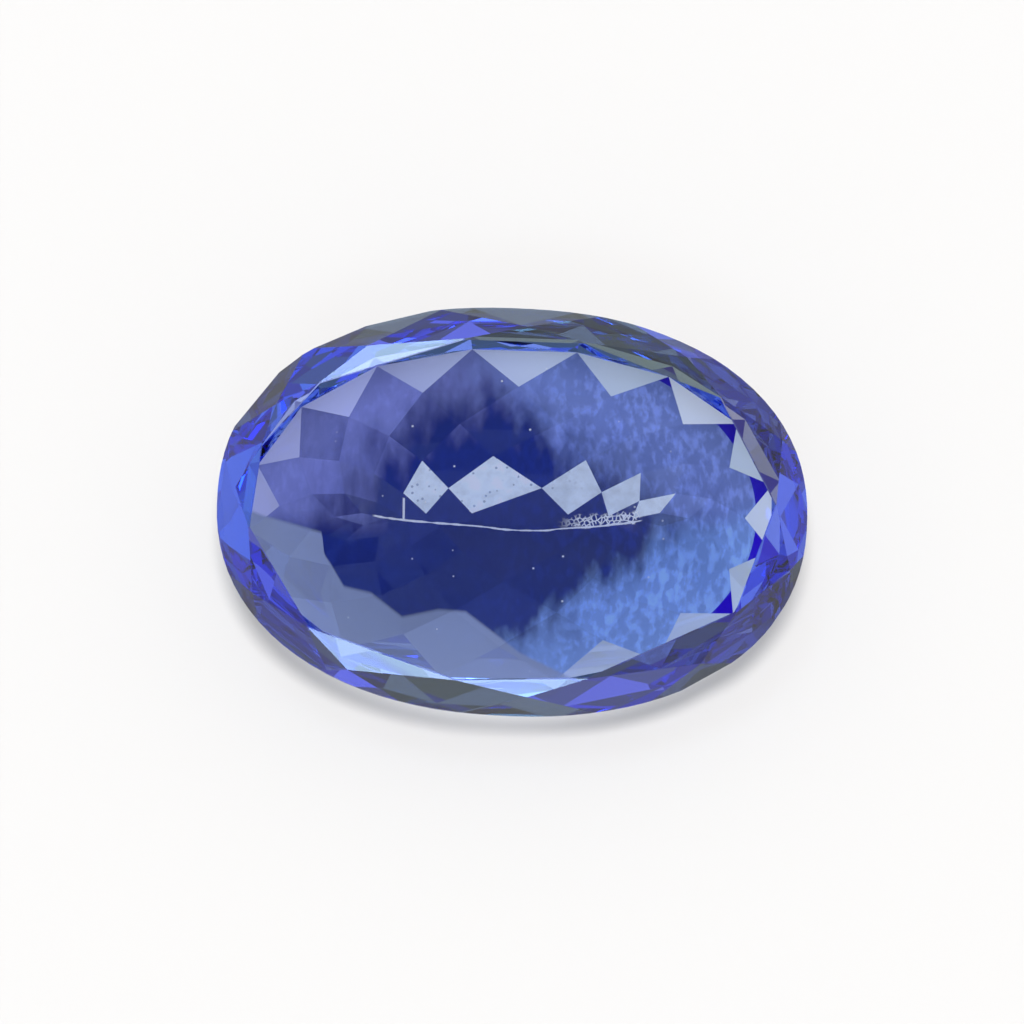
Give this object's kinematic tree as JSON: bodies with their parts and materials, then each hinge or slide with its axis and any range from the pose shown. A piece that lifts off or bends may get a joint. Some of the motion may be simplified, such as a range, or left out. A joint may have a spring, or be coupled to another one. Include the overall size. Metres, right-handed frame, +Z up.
{
  "type": "oval cut tanzanite",
  "caption": "Oval faceted gemstone with a wide flat table, a low crown, a thin girdle and a net of kite facets running down to a keel, lying on one pavilion facet.",
  "frame": {"origin": "on the surface that the stone lies on, under the middle of its bounding box", "axes": "+X along the oval's long axis, +Z up from the facet that it lies on; the table leans towards -Y, about 16 degrees from level"},
  "size_m": [0.013, 0.0086, 0.0049],
  "materials": {
    "tanzanite": "transparent violet-blue crystal with polished flat facets, refractive index 1.69"
  },
  "bodies": {
    "root": {"tanzanite": "tanzanite"}
  },
  "joints": []
}
